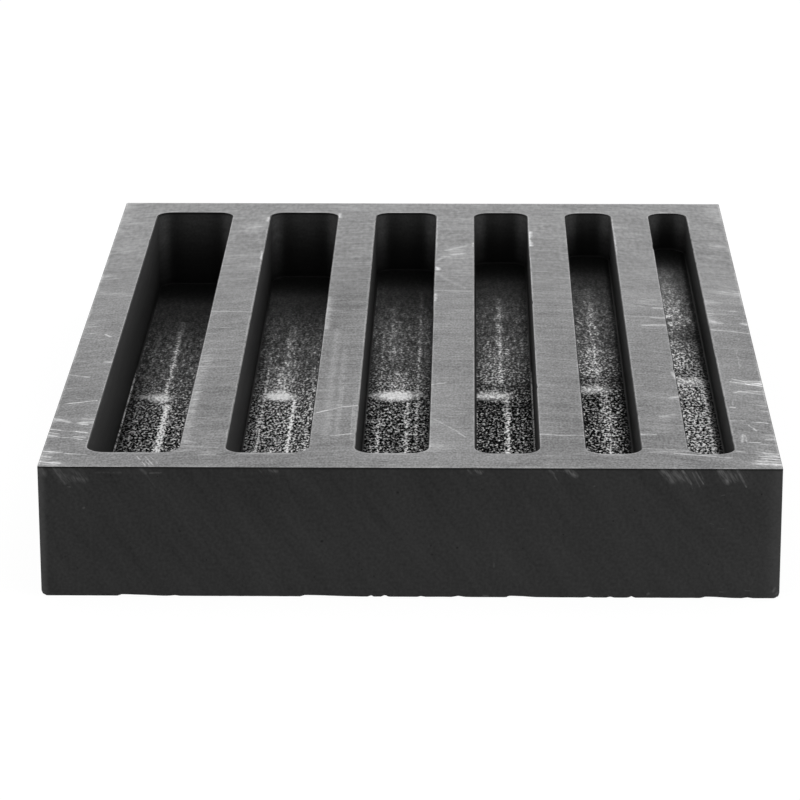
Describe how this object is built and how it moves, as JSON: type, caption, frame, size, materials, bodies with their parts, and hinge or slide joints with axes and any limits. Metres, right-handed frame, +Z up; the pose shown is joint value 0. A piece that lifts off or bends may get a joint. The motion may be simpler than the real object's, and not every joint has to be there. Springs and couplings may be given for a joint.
{
  "type": "ingot mould",
  "caption": "Flat graphite block with parallel round-cornered slots in graded widths and depths, open at the top, for casting square metal bars.",
  "frame": {"origin": "middle of the flat underside, on the surface that the mould stands on", "axes": "+Z up, out of the open slots; +Y away from the viewer, along the slots; +X to the right, from the widest slot to the narrowest"},
  "size_m": [0.08, 0.11, 0.0148],
  "materials": {
    "graphite": "fine-grained dark grey graphite, milled, with a soft sheen and pale rub marks"
  },
  "bodies": {
    "root": {"mould_block": "graphite"}
  },
  "joints": []
}
